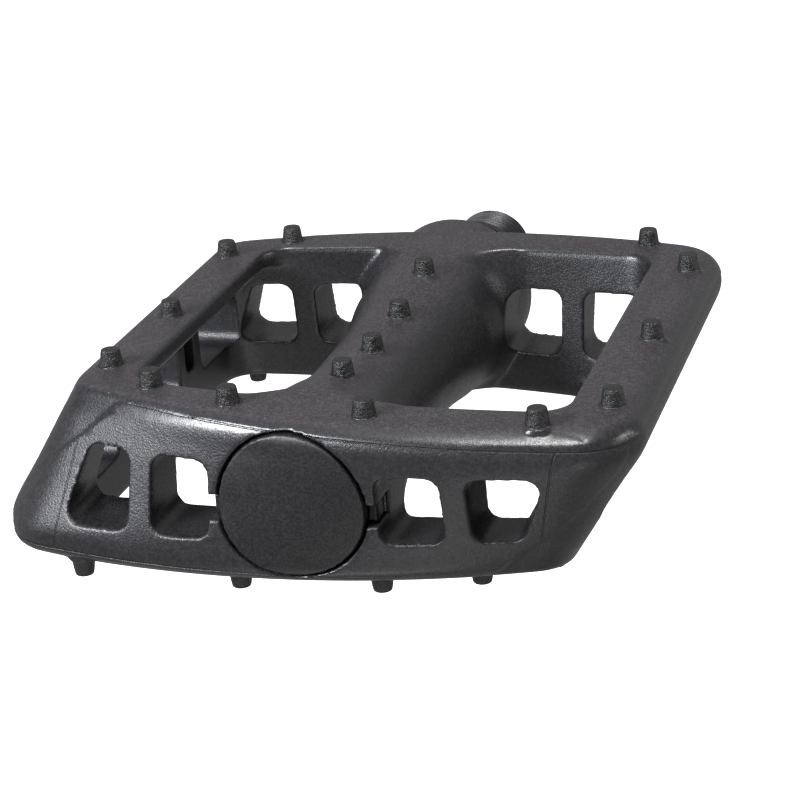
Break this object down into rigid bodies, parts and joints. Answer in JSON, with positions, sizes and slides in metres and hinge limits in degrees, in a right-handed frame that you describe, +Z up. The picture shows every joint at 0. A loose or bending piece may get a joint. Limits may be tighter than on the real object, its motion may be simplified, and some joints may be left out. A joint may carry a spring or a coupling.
{
  "type": "flat bicycle pedal",
  "caption": "Moulded flat platform pedal with moulded traction pins, turning on two rows of loose balls about a steel spindle that screws into a crank arm.",
  "frame": {"origin": "centre of the spindle's shoulder, in the plane where it seats on the crank arm", "axes": "+Y along the spindle towards the crank arm, +Z up, +X completes a right-handed frame; the platform lies flat at negative Y"},
  "size_m": [0.1, 0.1232, 0.0314],
  "materials": {
    "nylon": "fine grained black moulded nylon",
    "cap": "smooth satin black moulded plastic",
    "seal": "black rubber",
    "spindle": "black oxide steel",
    "steel": "plain turned steel",
    "ball": "polished ball bearing steel"
  },
  "bodies": {
    "axle": {"spindle": "spindle", "outboard_cone": "steel", "tab_washer": "steel", "lock_nut": "steel"},
    "platform": {"pedal_body": "nylon", "end_cap": "cap", "inboard_cup": "steel", "outboard_cup": "steel", "dust_seal": "seal"},
    "inboard_balls": {"inboard_ball_01": "ball", "inboard_ball_02": "ball", "inboard_ball_03": "ball", "inboard_ball_04": "ball", "inboard_ball_05": "ball", "inboard_ball_06": "ball", "inboard_ball_07": "ball", "inboard_ball_08": "ball", "inboard_ball_09": "ball", "inboard_ball_10": "ball", "inboard_ball_11": "ball", "inboard_ball_12": "ball", "inboard_ball_13": "ball", "inboard_ball_14": "ball"},
    "outboard_balls": {"outboard_ball_01": "ball", "outboard_ball_02": "ball", "outboard_ball_03": "ball", "outboard_ball_04": "ball", "outboard_ball_05": "ball", "outboard_ball_06": "ball", "outboard_ball_07": "ball", "outboard_ball_08": "ball", "outboard_ball_09": "ball", "outboard_ball_10": "ball", "outboard_ball_11": "ball", "outboard_ball_12": "ball"}
  },
  "joints": [
    {"name": "pedal_spin", "type": "hinge", "parent": "axle", "child": "platform", "pos_m": [0, 0, 0], "axis": [0, 1, 0], "continuous": true},
    {"name": "inboard_ball_orbit", "type": "hinge", "parent": "axle", "child": "inboard_balls", "pos_m": [0, 0, 0], "axis": [0, 1, 0], "continuous": true},
    {"name": "outboard_ball_orbit", "type": "hinge", "parent": "axle", "child": "outboard_balls", "pos_m": [0, 0, 0], "axis": [0, 1, 0], "continuous": true}
  ],
  "couplings": [
    {"joint": "inboard_ball_orbit", "follows": "pedal_spin", "ratio": 0.568},
    {"joint": "outboard_ball_orbit", "follows": "pedal_spin", "ratio": 0.585}
  ]
}
